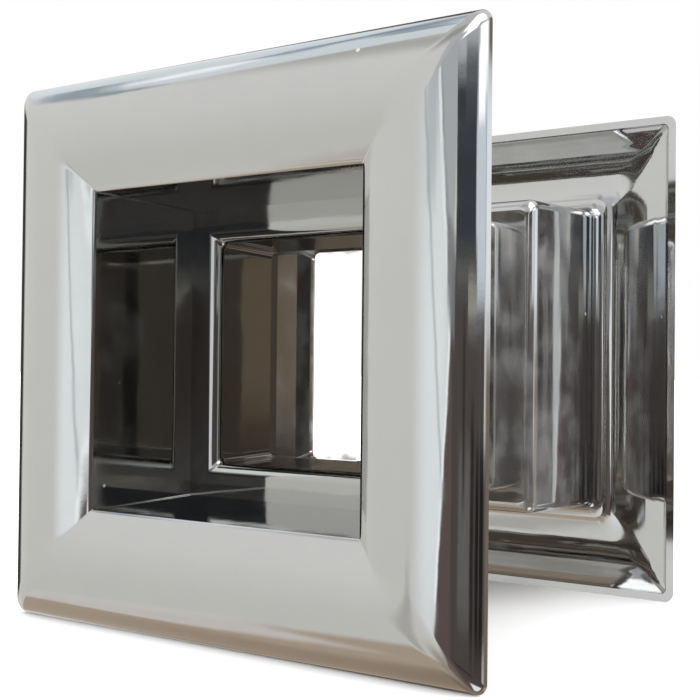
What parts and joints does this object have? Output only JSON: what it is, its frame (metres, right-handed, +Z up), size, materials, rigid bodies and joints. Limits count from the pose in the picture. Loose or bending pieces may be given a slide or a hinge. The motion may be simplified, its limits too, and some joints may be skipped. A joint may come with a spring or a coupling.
{
  "type": "square door vent sleeve",
  "caption": "Square see-through vent sleeve in two flanged halves that plug together through a door or bulkhead.",
  "frame": {"origin": "bottom centre of the whole object's box, on the surface that the two flanges stand on, midway between the two flange faces", "axes": "+Z up, the passage runs along Y, the front half's flange faces -Y and the rear half's faces +Y, +X is to the right when looking at the front flange"},
  "size_m": [0.0518, 0.0486, 0.0519],
  "materials": {
    "chrome_plating": "polished bright plating with fine dust specks"
  },
  "bodies": {
    "front_half": {"front_sleeve": "chrome_plating"},
    "rear_half": {"rear_sleeve": "chrome_plating"}
  },
  "joints": [
    {"name": "door_thickness_slide", "type": "slide", "parent": "front_half", "child": "rear_half", "axis": [0, 1, 0], "range_m": [-0.0046, 0.002]}
  ]
}
